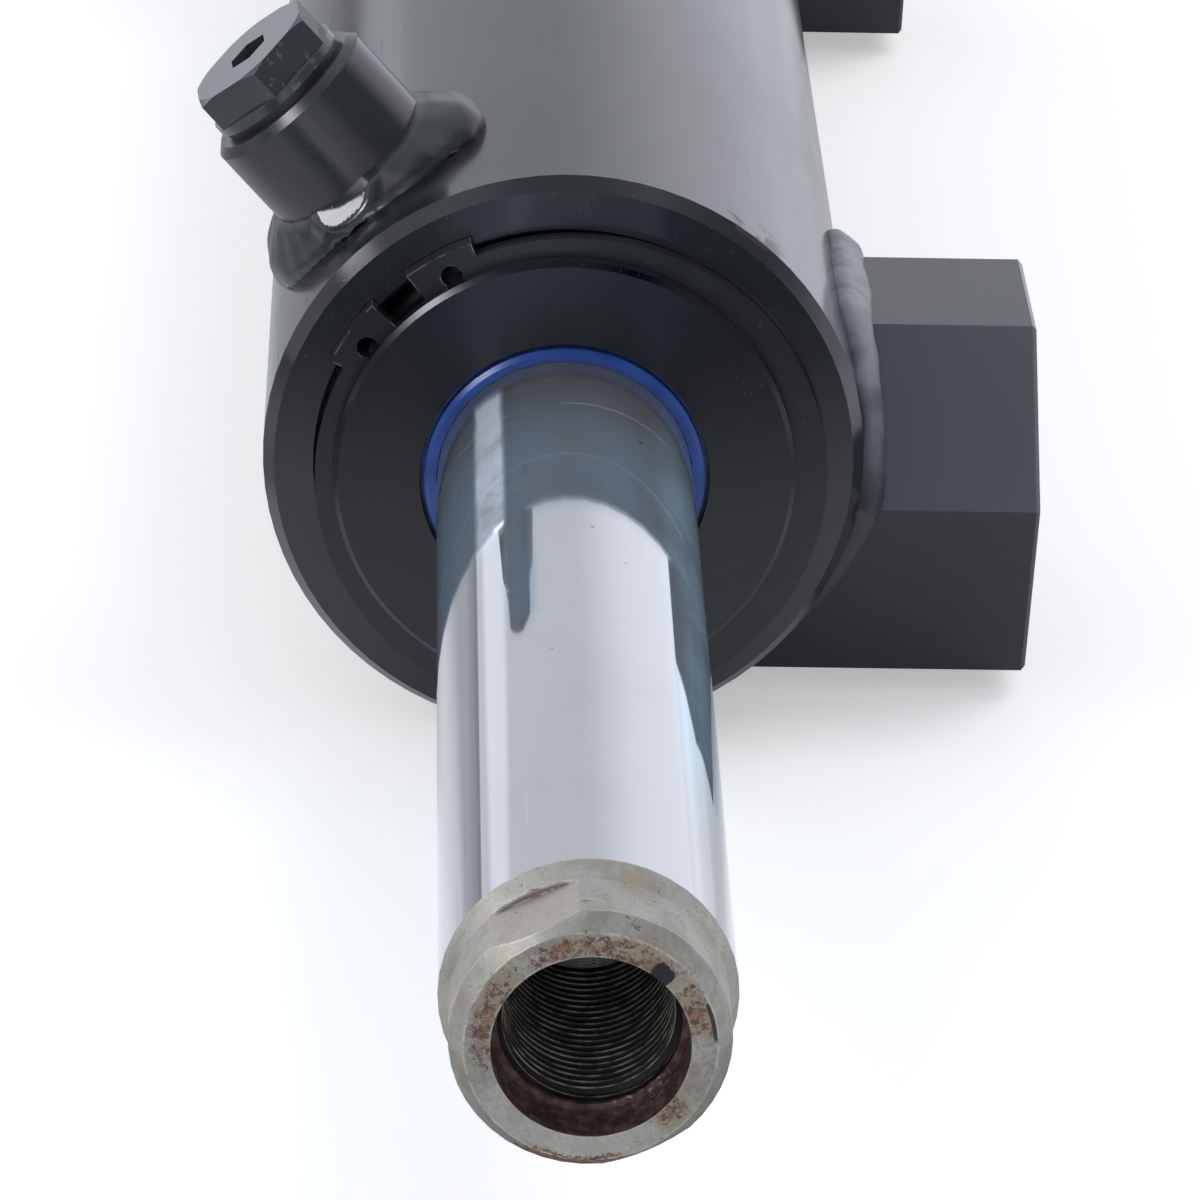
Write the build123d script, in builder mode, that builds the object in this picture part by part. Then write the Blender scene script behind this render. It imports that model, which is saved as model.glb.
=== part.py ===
from build123d import *
import os
from math import cos, sin, radians

# A double-ended hydraulic steering cylinder for an axle.
# The rod runs along Y and comes out of both ends of the barrel. Two tapped blocks are welded to its +X side.
# The origin is midway between the two tapped holes, in the plane of the blocks' outer faces.

# Barrel
barrel_diameter = 85.0
barrel_wall = 7.5
barrel_length = 354.0
rim_chamfer_along = 2.4
rim_chamfer_radial = 1.6
bore_mouth_chamfer = 0.4
axis_to_mount_face = 68.5
axis_above_mounts = 13.5

# Piston rod
rod_diameter = 36.0
rod_length = 709.0
spigot_step = 1.2
spigot_length = 10.5
spigot_cone_length = 3.1
rod_end_chamfer_radial = 1.8
rod_end_chamfer_along = 2.4
wrench_flat_depth = 1.0
wrench_flat_angle = 116.0
thread_diameter = 22.0
thread_depth = 42.0
counterbore_diameter = 23.6
counterbore_depth = 6.5
drill_point_depth = 6.0

# Running and seating clearances, on the radius
guide_clearance = 0.03
slide_clearance = 0.05
seat_clearance = 0.02
rod_hole_clearance = 0.3

# Glands, measured inwards from the barrel's end face
gland_nose_step = 2.5
gland_nose_reach = 5.7
gland_nose_chamfer = 0.7
gland_seal_land_length = 13.5
gland_spigot_step = 6.0
gland_inner_end = 44.0
gland_spigot_chamfer = 1.5

# External circlip on the gland's nose
circlip_thickness = 2.5
circlip_standoff = 0.36
circlip_groove_depth = 1.5
circlip_groove_play = 0.15
circlip_section = 5.1
circlip_eccentricity = 1.5
circlip_lug_section = 5.8
circlip_lug_hole_diameter = 3.0
circlip_lug_hole_inset = 2.4
circlip_gap_angle = 133.0
circlip_gap_half_angle = 5.0
circlip_lug_hole_half_angle = 13.7
circlip_lug_half_angle = 21.0

# Round wire ring that the gland's shoulder pulls against
wire_diameter = 4.0
wire_setback = 8.0
wire_gap = 4.0

# Rod wiper, rod seal and rod guide rings in the gland
wiper_opening_clearance = 0.7
wiper_lip_thickness = 1.7
wiper_groove_height = 4.5
wiper_groove_width = 5.6
wiper_web = 1.7
wiper_lip_stand_out = 0.6
wiper_lip_depth = 4.2
rod_seal_groove_height = 5.0
rod_seal_groove_start = 6.5
rod_seal_width = 6.6
rod_seal_notch_depth = 2.8
rod_seal_lip_width = 1.25
guide_ring_thickness = 2.5
guide_ring_width = 9.6
guide_ring_inset = 2.8
guide_ring_gap = 4.3

# Seal on the outside of the gland
gland_ring_groove_depth = 3.7
gland_ring_groove_start = 13.6
o_ring_width = 4.2
backup_ring_width = 1.4

# Ports
port_setback = 29.0
port_angle = 48.0
port_boss_diameter = 26.0
port_boss_length = 18.0
port_boss_chamfer = 1.2
port_thread_diameter = 13.2
port_thread_depth = 14.0
port_drill_diameter = 8.0
port_weld_leg = 5.0
port_weld_skirt = 1.5
plug_head_size = 19.0
plug_head_height = 5.0
plug_head_chamfer_radial = 1.2
plug_head_chamfer_along = 0.5
plug_collar_diameter = 21.4
plug_collar_height = 1.3
plug_shank_length = 10.0
plug_socket_size = 6.0
plug_socket_depth = 4.5
plug_turn = 6.0
plug_seal_inset = 0.5
plug_seal_thickness = 1.2

# Mounting blocks, a hexagonal profile with opposite corners alike about the tapped hole
mount_setback = 35.0
block_half_height = 25.0
block_shoulder = 8.5
block_heel = 18.5
block_nose = 28.5
block_nose_rise = 4.3
block_edge_break = 0.6
mount_hole_diameter = 20.0
mount_hole_depth = 24.0
mount_weld_leg = 4.5
mount_weld_bevel = 3.2

# Piston
piston_clearance = 0.2
piston_length = 45.0
piston_bore_clearance = 0.03
piston_edge_chamfer = 1.5
piston_ring_groove_depth = 5.0
piston_seal_width = 6.3
piston_seal_thickness = 2.6
piston_wear_thickness = 2.5
piston_wear_width = 9.7
piston_wear_inset = 3.6
piston_o_ring_depth = 2.6
piston_o_ring_width = 3.0
piston_clip_thickness = 3.0
piston_clip_height = 5.5
piston_clip_groove_depth = 1.6
piston_clip_recess_clearance = 1.5
groove_play = 0.05
squeezed_corner_share = 0.45

# Places and radii that follow from the sizes above
barrel_radius = barrel_diameter / 2
bore_radius = barrel_radius - barrel_wall
rod_radius = rod_diameter / 2
spigot_radius = rod_radius - spigot_step
nose_radius = bore_radius - gland_nose_step
land_radius = bore_radius - seat_clearance
gland_spigot_radius = bore_radius - gland_spigot_step
circlip_groove_radius = nose_radius - circlip_groove_depth
circlip_outer_radius = circlip_groove_radius + circlip_section
circlip_lug_radius = circlip_groove_radius + circlip_lug_section
circlip_lug_hole_radius = circlip_groove_radius + circlip_lug_hole_inset
wire_ring_radius = nose_radius + wire_diameter / 2 + seat_clearance
gland_shoulder = wire_setback + wire_diameter / 2 + seat_clearance
gland_land_end = gland_shoulder + gland_seal_land_length
wiper_lip_radius = rod_radius + wiper_lip_thickness
wiper_opening_radius = wiper_lip_radius + wiper_opening_clearance
wiper_groove_radius = rod_radius + wiper_groove_height
rod_seal_groove_radius = rod_radius + rod_seal_groove_height
guide_groove_width = guide_ring_width + 2 * groove_play
inner_guide_start = gland_inner_end - guide_ring_inset - guide_groove_width
outer_guide_start = inner_guide_start - guide_ring_gap - guide_groove_width
guide_ring_starts = (outer_guide_start, inner_guide_start)
backup_ring_start = gland_ring_groove_start + groove_play
gland_o_ring_start = backup_ring_start + backup_ring_width + groove_play
gland_ring_groove_end = gland_o_ring_start + o_ring_width + groove_play
piston_clip_radius = rod_radius + piston_clip_height
piston_clip_recess_radius = piston_clip_radius + piston_clip_recess_clearance
block_length = axis_to_mount_face
port_boss_top = barrel_radius + port_boss_length
mount_pitch = barrel_length - 2 * mount_setback
ends = {"front": -1, "rear": 1}
rod_axis = Axis((-axis_to_mount_face, 0, axis_above_mounts), (0, 1, 0))

os.makedirs("parts", exist_ok=True)


def save(shape, label):
    """Label a finished piece and write it under its own name."""
    shape.label = label
    export_step(shape, f"parts/{label}.step")


def end_section(side):
    """Plane through the rod axis: x is the radius, y runs into the barrel from its end face."""
    origin = (-axis_to_mount_face, side * barrel_length / 2, axis_above_mounts)
    return Plane(origin=origin, x_dir=(-side, 0, 0), z_dir=(0, 0, 1))


def middle_section():
    """Plane through the rod axis at the middle of the barrel: x is the radius, y runs along +Y."""
    return Plane(origin=rod_axis.position, x_dir=(1, 0, 0), z_dir=(0, 0, 1))


def end_view(side, depth, turn=0.0):
    """Plane across the rod axis, depth in from the barrel's end face, that looks out of the barrel.

    Its x axis is turned upwards from level by the angle turn.
    """
    origin = (-axis_to_mount_face, side * (barrel_length / 2 - depth), axis_above_mounts)
    x_direction = (-side * cos(radians(turn)), 0, sin(radians(turn)))
    return Plane(origin=origin, x_dir=x_direction, z_dir=(0, side, 0))


def turned_band(plane, inner, outer, start, width, mode=Mode.ADD):
    """Turn a rectangular section about the rod axis, as a ring or as a groove."""
    with BuildSketch(plane) as section:
        with Locations(((inner + outer) / 2, start + width / 2)):
            Rectangle(outer - inner, width)
    revolve(section.sketch, axis=rod_axis, mode=mode)


def round_section_ring(plane, inner, outer, start, width):
    """Turn the squeezed section of a rubber ring about the rod axis."""
    with BuildSketch(plane) as section:
        with Locations(((inner + outer) / 2, start + width / 2)):
            RectangleRounded(outer - inner, width, squeezed_corner_share * min(outer - inner, width))
    revolve(section.sketch, axis=rod_axis)


def clear_barrel(radius, mode=Mode.SUBTRACT):
    """Cut with, or keep only, a cylinder about the rod axis."""
    with BuildSketch(Plane(origin=rod_axis.position, z_dir=(0, 1, 0))) as section:
        Circle(radius)
    extrude(section.sketch, amount=barrel_length, both=True, mode=mode)


def port_position(side):
    """Where a port's axis meets the rod axis."""
    return (-axis_to_mount_face, side * (barrel_length / 2 - port_setback), axis_above_mounts)


def port_view(side, height=0.0):
    """Plane across a port's axis, at a height above the rod axis."""
    outward = (-cos(radians(port_angle)), 0, sin(radians(port_angle)))
    return Plane(origin=port_position(side), x_dir=(0, 1, 0), z_dir=outward).offset(height)


def port_section(side):
    """Plane through a port's axis: x runs along the barrel, y is the height above the rod axis."""
    across = (sin(radians(port_angle)), 0, cos(radians(port_angle)))
    return Plane(origin=port_position(side), x_dir=(0, 1, 0), z_dir=across)


def port_axis(side):
    return Axis(port_position(side), (-cos(radians(port_angle)), 0, sin(radians(port_angle))))


# Barrel tube: honed tube with chamfered rims, a groove for each wire ring and two port holes
with BuildPart() as barrel_tube:
    with BuildSketch(middle_section()):
        with Locations(((bore_radius + barrel_radius) / 2, 0)):
            Rectangle(barrel_radius - bore_radius, barrel_length)
    revolve(axis=rod_axis)
    for side in ends.values():
        rim = barrel_tube.edges().filter_by(GeomType.CIRCLE)
        rim = rim.filter_by(lambda edge: abs(edge.radius - barrel_radius) < seat_clearance)
        rim = rim.filter_by(lambda edge: edge.center().Y * side > 0)
        end_face = barrel_tube.faces().filter_by(Axis.Y).sort_by(Axis.Y)[0 if side < 0 else -1]
        chamfer(rim, rim_chamfer_radial, rim_chamfer_along, reference=end_face)
        mouth = barrel_tube.edges().filter_by(GeomType.CIRCLE)
        mouth = mouth.filter_by(lambda edge: abs(edge.radius - bore_radius) < seat_clearance)
        mouth = mouth.filter_by(lambda edge: edge.center().Y * side > 0)
        chamfer(mouth, bore_mouth_chamfer)
        with BuildSketch(end_section(side)):
            with Locations((wire_ring_radius, wire_setback)):
                Circle(wire_diameter / 2 + seat_clearance)
        revolve(axis=rod_axis, mode=Mode.SUBTRACT)
        with BuildSketch(port_view(side)):
            Circle(port_drill_diameter / 2)
        extrude(amount=barrel_diameter, mode=Mode.SUBTRACT)
save(barrel_tube.part, "barrel_tube")


def make_gland(side):
    """Rod guide: a nose that stands out of the barrel, a sealed land and a spigot under the port."""
    section = end_section(side)
    rod_hole = rod_radius + rod_hole_clearance
    with BuildPart() as gland:
        turned_band(section, rod_hole, nose_radius, -gland_nose_reach, gland_nose_reach + gland_shoulder)
        turned_band(section, rod_hole, land_radius, gland_shoulder, gland_seal_land_length)
        spigot_length_inside = gland_inner_end - gland_land_end
        turned_band(section, rod_hole, gland_spigot_radius, gland_land_end, spigot_length_inside)
        nose_edge = gland.edges().filter_by(GeomType.CIRCLE).group_by(Axis.Y)[0 if side < 0 else -1]
        chamfer(nose_edge.sort_by(SortBy.RADIUS)[-1], gland_nose_chamfer)
        inner_edge = gland.edges().filter_by(GeomType.CIRCLE).group_by(Axis.Y)[-1 if side < 0 else 0]
        chamfer(inner_edge.sort_by(SortBy.RADIUS)[-1], gland_spigot_chamfer)
        groove_width = circlip_thickness + 2 * circlip_groove_play
        groove_start = -circlip_standoff - circlip_thickness - circlip_groove_play
        turned_band(section, circlip_groove_radius, barrel_radius, groove_start, groove_width, Mode.SUBTRACT)
        turned_band(section, 0, wiper_opening_radius, -gland_nose_reach, wiper_web, Mode.SUBTRACT)
        wiper_start = wiper_web - gland_nose_reach
        turned_band(section, 0, wiper_groove_radius, wiper_start, wiper_groove_width, Mode.SUBTRACT)
        seal_width = rod_seal_width + 2 * groove_play
        turned_band(section, 0, rod_seal_groove_radius, rod_seal_groove_start, seal_width, Mode.SUBTRACT)
        guide_radius = rod_radius + guide_ring_thickness
        for start in guide_ring_starts:
            turned_band(section, 0, guide_radius, start, guide_groove_width, Mode.SUBTRACT)
        ring_width = gland_ring_groove_end - gland_ring_groove_start
        ring_floor = land_radius - gland_ring_groove_depth
        turned_band(section, ring_floor, barrel_radius, gland_ring_groove_start, ring_width, Mode.SUBTRACT)
    return gland.part


def make_circlip(side):
    """External circlip: tapered ring, two lugs with plier holes and a gap between them."""
    half_gap = circlip_gap_half_angle
    with BuildPart() as circlip:
        with BuildSketch(end_view(side, -circlip_standoff, circlip_gap_angle)):
            with Locations((-circlip_eccentricity, 0)):
                Circle(circlip_outer_radius)
            with BuildLine():
                lug_arc = CenterArc(
                    (0, 0), circlip_lug_radius, -circlip_lug_half_angle, 2 * circlip_lug_half_angle
                )
                Line(lug_arc @ 1, (0, 0))
                Line((0, 0), lug_arc @ 0)
            make_face()
            Circle(circlip_groove_radius + seat_clearance, mode=Mode.SUBTRACT)
            with BuildLine():
                gap_arc = CenterArc((0, 0), barrel_radius, -half_gap, 2 * half_gap)
                Line(gap_arc @ 1, (0, 0))
                Line((0, 0), gap_arc @ 0)
            make_face(mode=Mode.SUBTRACT)
            lug_turn = radians(circlip_lug_hole_half_angle)
            hole_x = circlip_lug_hole_radius * cos(lug_turn)
            hole_y = circlip_lug_hole_radius * sin(lug_turn)
            with Locations((hole_x, hole_y), (hole_x, -hole_y)):
                Circle(circlip_lug_hole_diameter / 2, mode=Mode.SUBTRACT)
        extrude(amount=circlip_thickness)
    return circlip.part


def make_wire_ring(side):
    """Round wire ring in the barrel's groove, open at the bottom by a small gap."""
    with BuildPart() as wire_ring:
        with BuildSketch(end_section(side)):
            with Locations((wire_ring_radius, wire_setback)):
                Circle(wire_diameter / 2)
        revolve(axis=rod_axis)
        with BuildSketch(end_view(side, wire_setback)):
            with Locations((0, -wire_ring_radius)):
                Rectangle(wire_gap, 2 * wire_diameter)
        extrude(amount=wire_diameter, both=True, mode=Mode.SUBTRACT)
    return wire_ring.part


def make_wiper(side):
    """Polyurethane wiper: a body held in its groove and a lip that stands out round the rod."""
    start = wiper_web - gland_nose_reach + groove_play
    width = wiper_groove_width - 2 * groove_play
    lip_tip = -gland_nose_reach - wiper_lip_stand_out
    body_outer = wiper_groove_radius - seat_clearance
    lip_outer = wiper_lip_radius
    lip_inner = rod_radius + guide_clearance
    heel = rod_radius + rod_hole_clearance
    with BuildPart() as wiper:
        with BuildSketch(end_section(side)):
            with BuildLine():
                Polyline(
                    (body_outer, start),
                    (body_outer, start + width),
                    (heel, start + width),
                    (heel, lip_tip + wiper_lip_depth),
                    (lip_inner, lip_tip + wiper_lip_stand_out),
                    (lip_inner, lip_tip),
                    (lip_outer - wiper_lip_stand_out, lip_tip),
                    (lip_outer, lip_tip + wiper_lip_stand_out),
                    (lip_outer, start),
                    close=True,
                )
            make_face()
        revolve(axis=rod_axis)
    return wiper.part


def make_rod_seal(side):
    """U-section rod seal, its notch towards the oil."""
    start = rod_seal_groove_start + groove_play
    inner = rod_radius + guide_clearance
    outer = rod_seal_groove_radius - seat_clearance
    middle = (inner + outer) / 2
    with BuildPart() as rod_seal:
        with BuildSketch(end_section(side)):
            with BuildLine():
                Polyline(
                    (inner, start),
                    (outer, start),
                    (outer, start + rod_seal_width),
                    (outer - rod_seal_lip_width, start + rod_seal_width),
                    (middle, start + rod_seal_width - rod_seal_notch_depth),
                    (inner + rod_seal_lip_width, start + rod_seal_width),
                    (inner, start + rod_seal_width),
                    close=True,
                )
            make_face()
        revolve(axis=rod_axis)
    return rod_seal.part


def make_guide_rings(side):
    """Two woven guide rings that carry the rod in each gland."""
    inner = rod_radius + guide_clearance
    outer = rod_radius + guide_ring_thickness - seat_clearance
    with BuildPart() as guide_rings:
        for start in guide_ring_starts:
            turned_band(end_section(side), inner, outer, start + groove_play, guide_ring_width)
    return guide_rings.part


def make_gland_o_ring(side):
    """Rubber ring that seals the gland to the bore, squeezed to the depth of its groove."""
    inner = land_radius - gland_ring_groove_depth + seat_clearance
    outer = bore_radius - seat_clearance
    with BuildPart() as o_ring:
        round_section_ring(end_section(side), inner, outer, gland_o_ring_start, o_ring_width)
    return o_ring.part


def make_backup_ring(side):
    """Hard ring that keeps the rubber ring out of the clearance, on the side away from the oil."""
    inner = land_radius - gland_ring_groove_depth + seat_clearance
    outer = bore_radius - seat_clearance
    with BuildPart() as backup_ring:
        turned_band(end_section(side), inner, outer, backup_ring_start, backup_ring_width)
    return backup_ring.part


def make_port_boss(side):
    """Round boss, coped to the barrel and tapped for a fitting."""
    with BuildPart() as boss:
        with BuildSketch(port_view(side)):
            Circle(port_boss_diameter / 2)
        extrude(amount=port_boss_top)
        clear_barrel(barrel_radius)
        top_edge = boss.edges().filter_by(GeomType.CIRCLE).sort_by(port_axis(side))[-1]
        chamfer(top_edge, port_boss_chamfer)
        with BuildSketch(port_view(side, port_boss_top)):
            Circle(port_thread_diameter / 2)
        extrude(amount=-port_thread_depth, mode=Mode.SUBTRACT)
        with BuildSketch(port_view(side)):
            Circle(port_drill_diameter / 2)
        extrude(amount=port_boss_top, mode=Mode.SUBTRACT)
    return boss.part


def make_port_weld(side):
    """Fillet weld between the port boss and the barrel."""
    boss_radius = port_boss_diameter / 2
    toe = boss_radius + port_weld_leg
    root = bore_radius
    with BuildPart() as weld:
        with BuildSketch(port_section(side)):
            with BuildLine():
                Polyline(
                    (boss_radius, root),
                    (boss_radius, barrel_radius + port_weld_leg),
                    (toe, barrel_radius),
                    (toe + port_weld_skirt, root),
                    close=True,
                )
            make_face()
        revolve(axis=port_axis(side))
        clear_barrel(barrel_radius)
    return weld.part


def make_port_plug(side):
    """Plug with a hexagon head, a round collar and a hexagon socket."""
    collar_base = port_boss_top + plug_seal_thickness
    head_base = collar_base + plug_collar_height
    head_top = head_base + plug_head_height
    across_corners = plug_head_size / cos(radians(30))
    with BuildPart() as plug:
        with BuildSketch(port_view(side, head_base)):
            RegularPolygon(plug_head_size / 2, 6, major_radius=False, rotation=plug_turn)
        extrude(amount=plug_head_height)
        with BuildSketch(port_section(side)):
            with BuildLine():
                Polyline(
                    (0, head_base),
                    (across_corners / 2, head_base),
                    (across_corners / 2, head_top - plug_head_chamfer_along),
                    (across_corners / 2 - plug_head_chamfer_radial, head_top),
                    (0, head_top),
                    close=True,
                )
            make_face()
        revolve(axis=port_axis(side), mode=Mode.INTERSECT)
        with BuildSketch(port_view(side, collar_base)):
            Circle(plug_collar_diameter / 2)
        extrude(amount=plug_collar_height)
        with BuildSketch(port_view(side, collar_base)):
            Circle(port_thread_diameter / 2 - seat_clearance)
        extrude(amount=-plug_seal_thickness - plug_shank_length)
        with BuildSketch(port_view(side, head_top)):
            RegularPolygon(plug_socket_size / 2, 6, major_radius=False, rotation=plug_turn)
        extrude(amount=-plug_socket_depth, mode=Mode.SUBTRACT)
    return plug.part


def make_plug_seal(side):
    """Sealing washer between the plug's collar and the boss."""
    with BuildPart() as plug_seal:
        with BuildSketch(port_view(side, port_boss_top)):
            Circle(plug_collar_diameter / 2 - plug_seal_inset)
            Circle(port_thread_diameter / 2 + slide_clearance, mode=Mode.SUBTRACT)
        extrude(amount=plug_seal_thickness)
    return plug_seal.part


def block_view(side):
    """Plane of the blocks' outer faces, centred on one tapped hole, that looks out along +X."""
    return Plane(origin=(0, side * mount_pitch / 2, 0), x_dir=(0, 1, 0), z_dir=(1, 0, 0))


def block_profile():
    """Hexagonal outline about the tapped hole: level top, steep front corner and leaning nose face."""
    upper = [
        (block_heel, block_half_height),
        (-block_shoulder, block_half_height),
        (-block_nose, block_nose_rise),
    ]
    lower = [(-x, -y) for x, y in upper]
    Polygon(*upper, *lower, align=None)


def make_mount_block(side):
    """Mounting block, coped to the barrel and tapped in its outer face."""
    with BuildPart() as block:
        with BuildSketch(block_view(side)):
            block_profile()
        extrude(amount=-block_length)
        clear_barrel(barrel_radius)
        outer_face = block.faces().sort_by(Axis.X)[-1]
        chamfer(outer_face.edges(), block_edge_break)
        with BuildSketch(block_view(side)):
            Circle(mount_hole_diameter / 2)
        extrude(amount=-mount_hole_depth, mode=Mode.SUBTRACT)
    return block.part


def make_mount_weld(side):
    """Fillet weld all round a mounting block where it meets the barrel."""
    crown = barrel_radius + mount_weld_leg
    with BuildPart() as weld:
        with BuildSketch(block_view(side)):
            block_profile()
            offset(amount=mount_weld_leg, kind=Kind.INTERSECTION)
        extrude(amount=-block_length)
        clear_barrel(crown, Mode.INTERSECT)
        crown_face = weld.faces().filter_by(GeomType.CYLINDER).sort_by(SortBy.AREA)[-1]
        chamfer(crown_face.outer_wire().edges(), mount_weld_bevel)
        clear_barrel(barrel_radius)
        with BuildSketch(block_view(side)):
            block_profile()
        extrude(amount=-block_length, mode=Mode.SUBTRACT)
    return weld.part


# Pieces that both ends of the barrel have
end_pieces = {
    "gland": make_gland,
    "circlip": make_circlip,
    "wire_ring": make_wire_ring,
    "wiper": make_wiper,
    "rod_seal": make_rod_seal,
    "rod_guide_rings": make_guide_rings,
    "gland_o_ring": make_gland_o_ring,
    "gland_backup_ring": make_backup_ring,
    "port_boss": make_port_boss,
    "port_weld": make_port_weld,
    "port_plug": make_port_plug,
    "port_plug_seal": make_plug_seal,
    "mount_block": make_mount_block,
    "mount_weld": make_mount_weld,
}
for piece, make_piece in end_pieces.items():
    for end, side in ends.items():
        save(make_piece(side), f"{end}_{piece}")

# Piston rod: chromed bar with a wrench spigot and a tapped hole at each end
clip_groove_start = piston_length / 2 - piston_clip_thickness
clip_groove_radius = rod_radius - piston_clip_groove_depth
with BuildPart() as piston_rod:
    with BuildSketch(middle_section()):
        rod_end = rod_length / 2
        cone_start = rod_end - spigot_length - spigot_cone_length
        with BuildLine():
            Polyline(
                (0, 0),
                (rod_radius, 0),
                (rod_radius, cone_start),
                (spigot_radius, rod_end - spigot_length),
                (spigot_radius, rod_end - rod_end_chamfer_along),
                (spigot_radius - rod_end_chamfer_radial, rod_end),
                (counterbore_diameter / 2, rod_end),
                (counterbore_diameter / 2, rod_end - counterbore_depth),
                (thread_diameter / 2, rod_end - counterbore_depth),
                (thread_diameter / 2, rod_end - thread_depth),
                (0, rod_end - thread_depth - drill_point_depth),
                close=True,
            )
        make_face()
        mirror(about=Plane.XZ)
    revolve(axis=rod_axis)
    for side in ends.values():
        clip_start = clip_groove_start if side > 0 else -clip_groove_start - piston_clip_thickness
        turned_band(
            middle_section(), clip_groove_radius, bore_radius, clip_start, piston_clip_thickness,
            Mode.SUBTRACT
        )
        with BuildSketch(end_view(side, (barrel_length - rod_length) / 2, wrench_flat_angle)):
            flat_distance = spigot_radius - wrench_flat_depth
            flat_centre = (flat_distance + rod_diameter) / 2
            with Locations((flat_centre, 0), (-flat_centre, 0)):
                Rectangle(rod_diameter - flat_distance, rod_diameter)
        extrude(amount=-spigot_length, mode=Mode.SUBTRACT)
save(piston_rod.part, "piston_rod")

# Piston: a turned ring on the rod, with grooves for its seal, its two wear rings and its own rubber ring
piston_outer = bore_radius - piston_clearance
piston_inner = rod_radius + piston_bore_clearance
seal_groove_floor = bore_radius - piston_ring_groove_depth
wear_groove_floor = bore_radius - piston_wear_thickness
wear_start = piston_length / 2 - piston_wear_inset - piston_wear_width
with BuildPart() as piston:
    turned_band(middle_section(), piston_inner, piston_outer, -piston_length / 2, piston_length)
    for side in ends.values():
        rim = piston.edges().filter_by(GeomType.CIRCLE).group_by(Axis.Y)[0 if side < 0 else -1]
        chamfer(rim.sort_by(SortBy.RADIUS)[-1], piston_edge_chamfer)
        start = wear_start if side > 0 else -wear_start - piston_wear_width
        turned_band(
            middle_section(), wear_groove_floor, barrel_radius, start - groove_play,
            piston_wear_width + 2 * groove_play, Mode.SUBTRACT
        )
        recess_start = clip_groove_start if side > 0 else -clip_groove_start - piston_clip_thickness
        turned_band(
            middle_section(), 0, piston_clip_recess_radius, recess_start, piston_clip_thickness,
            Mode.SUBTRACT
        )
    turned_band(
        middle_section(), seal_groove_floor, barrel_radius, -piston_seal_width / 2 - groove_play,
        piston_seal_width + 2 * groove_play, Mode.SUBTRACT
    )
    turned_band(
        middle_section(), 0, rod_radius + piston_o_ring_depth, -piston_o_ring_width / 2 - groove_play,
        piston_o_ring_width + 2 * groove_play, Mode.SUBTRACT
    )
save(piston.part, "piston")

# Clips that hold the piston on the rod, one each side, sunk in the piston's ends
with BuildPart() as piston_clips:
    clip_inner = clip_groove_radius + seat_clearance
    clip_width = piston_clip_thickness - 2 * groove_play
    for side in ends.values():
        start = clip_groove_start if side > 0 else -clip_groove_start - piston_clip_thickness
        turned_band(
            middle_section(), clip_inner, piston_clip_radius, start + groove_play, clip_width
        )
save(piston_clips.part, "piston_clips")

# Rubber ring that seals the piston to the rod
with BuildPart() as piston_bore_o_ring:
    ring_outer = rod_radius + piston_o_ring_depth - seat_clearance
    round_section_ring(
        middle_section(), rod_radius + seat_clearance, ring_outer, -piston_o_ring_width / 2,
        piston_o_ring_width
    )
save(piston_bore_o_ring.part, "piston_bore_o_ring")

# Piston seal: a hard slide ring that runs on the bore
seal_inner = bore_radius - piston_seal_thickness
with BuildPart() as piston_seal:
    turned_band(
        middle_section(), seal_inner, bore_radius - guide_clearance, -piston_seal_width / 2,
        piston_seal_width
    )
save(piston_seal.part, "piston_seal")

# Rubber ring under the slide ring that presses it out
with BuildPart() as piston_seal_energiser:
    round_section_ring(
        middle_section(), seal_groove_floor + seat_clearance, seal_inner - seat_clearance,
        -piston_seal_width / 2 + groove_play, piston_seal_width - 2 * groove_play
    )
save(piston_seal_energiser.part, "piston_seal_energiser")

# Wear rings that guide the piston in the bore
with BuildPart() as piston_wear_rings:
    wear_inner = wear_groove_floor + slide_clearance
    for side in ends.values():
        start = wear_start if side > 0 else -wear_start - piston_wear_width
        turned_band(
            middle_section(), wear_inner, bore_radius - guide_clearance, start, piston_wear_width
        )
save(piston_wear_rings.part, "piston_wear_rings")
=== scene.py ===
from functools import partial
from math import atan2, cos, hypot, pi, radians, sin

import bmesh
import bpy
from mathutils import Matrix, Vector, noise


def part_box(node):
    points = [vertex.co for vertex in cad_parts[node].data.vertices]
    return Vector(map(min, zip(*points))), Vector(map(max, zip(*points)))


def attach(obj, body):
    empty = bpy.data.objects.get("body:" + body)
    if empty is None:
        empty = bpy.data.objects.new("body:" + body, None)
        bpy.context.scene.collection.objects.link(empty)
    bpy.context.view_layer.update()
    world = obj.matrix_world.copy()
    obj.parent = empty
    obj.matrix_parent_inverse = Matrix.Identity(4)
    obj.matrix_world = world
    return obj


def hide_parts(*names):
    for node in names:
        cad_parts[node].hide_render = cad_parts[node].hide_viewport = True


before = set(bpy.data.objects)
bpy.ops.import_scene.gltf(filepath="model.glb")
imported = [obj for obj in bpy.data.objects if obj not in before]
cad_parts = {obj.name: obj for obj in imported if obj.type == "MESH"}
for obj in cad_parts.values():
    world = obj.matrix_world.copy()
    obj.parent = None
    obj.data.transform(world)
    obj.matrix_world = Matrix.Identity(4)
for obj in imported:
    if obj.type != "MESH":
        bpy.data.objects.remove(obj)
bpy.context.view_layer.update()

# Barrel: a length of honed steel tube, cut square and chamfered at both rims.
# It is sprayed glossy black together with all that is welded to it, so the paint
# has a faint orange peel, some dust in it and a few dull smears from handling.
rod_axis_x = -0.0685
rod_axis_z = 0.0135
barrel_radius = 0.0425
barrel_end = 0.177


def feed(node, sockets):
    """Set what sockets of a node hold, or what they are fed by."""
    for name, value in sockets.items():
        if isinstance(value, bpy.types.NodeSocket):
            node.id_data.links.new(value, node.inputs[name])
        else:
            node.inputs[name].default_value = value


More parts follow.
